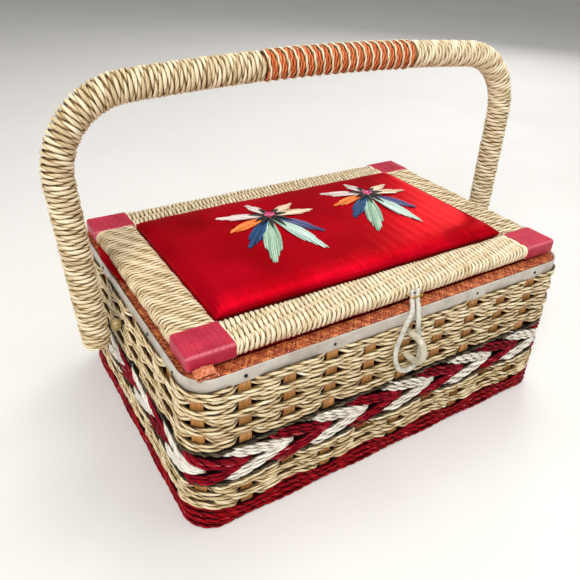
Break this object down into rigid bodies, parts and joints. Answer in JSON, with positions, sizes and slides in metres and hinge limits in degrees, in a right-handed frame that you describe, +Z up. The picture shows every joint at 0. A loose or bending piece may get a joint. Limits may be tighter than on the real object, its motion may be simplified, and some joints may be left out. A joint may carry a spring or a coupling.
{
  "type": "wicker sewing box",
  "caption": "Rectangular woven basket with a hinged padded satin lid wound in straw cord, a cord-and-hoop latch and a swinging wound bail handle, for keeping sewing things.",
  "frame": {"origin": "middle of the flat underside, on the surface that the basket stands on", "axes": "+X along the width to the right, -Y towards the latch side (front), +Z up"},
  "size_m": [0.3788, 0.2383, 0.2609],
  "materials": {
    "straw_weave": "twisted straw cord, woven",
    "red_weave": "dyed straw cord, woven",
    "arrow_weave": "dyed and white straw cord, woven",
    "straw_winding": "twisted straw cord, wound",
    "splint": "flat splint, lacquered",
    "satin": "padded satin",
    "ribbon": "ribbed ribbon",
    "rust_braid": "metallic woven braid",
    "rim_plastic": "extruded strip",
    "latch_vinyl": "vinyl cord",
    "grip_orange": "dyed cord, wound",
    "grip_cream": "cord, wound",
    "hoop_wood": "bare bent wood",
    "bead_wood": "stained bead",
    "board": "pressed board",
    "brass": "polished",
    "steel": "blackened"
  },
  "bodies": {
    "basket": {"base_panel": "board", "foot_band": "red_weave", "lower_weave": "straw_weave", "chevron_band": "arrow_weave", "upper_weave": "straw_weave", "stakes": "splint", "wall_lining": "satin", "base_pad": "satin", "rim_strip": "rim_plastic", "inner_rim_hoop": "hoop_wood", "rim_braid": "rust_braid", "rim_nails": "steel", "latch_hoop": "latch_vinyl", "rim_hinge_leaves": "brass", "hinge_pins": "brass", "pivot_washers": "steel", "pivot_beads": "bead_wood"},
    "lid": {"lid_frame": "hoop_wood", "wrap_front": "straw_winding", "wrap_back": "straw_winding", "wrap_left": "straw_winding", "wrap_right": "straw_winding", "ribbon_front_left": "ribbon", "ribbon_front_right": "ribbon", "ribbon_back_left": "ribbon", "ribbon_back_right": "ribbon", "lid_board": "board", "lid_cushion": "satin", "lid_pad": "satin", "lid_hinge_leaves": "brass", "latch_staple": "brass"},
    "latch": {"latch_loop": "latch_vinyl"},
    "handle": {"handle_core": "hoop_wood", "handle_wrap_left": "straw_winding", "handle_wrap_right": "straw_winding", "grip_wrap": "grip_orange", "grip_cord": "grip_cream", "pivot_pins": "steel"}
  },
  "joints": [
    {"name": "lid_hinge", "type": "hinge", "parent": "basket", "child": "lid", "pos_m": [0, 0.0992, 0.1204], "axis": [-1, 0, 0], "range_deg": [0, 44]},
    {"name": "latch_swing", "type": "hinge", "parent": "lid", "child": "latch", "pos_m": [0.008, -0.0993, 0.121], "axis": [-1, 0, 0], "range_deg": [0, 110], "deforming": ["latch_loop"]},
    {"name": "handle_swing", "type": "hinge", "parent": "basket", "child": "handle", "pos_m": [0, 0, 0.0958], "axis": [1, 0, 0], "range_deg": [-115, 121]}
  ]
}
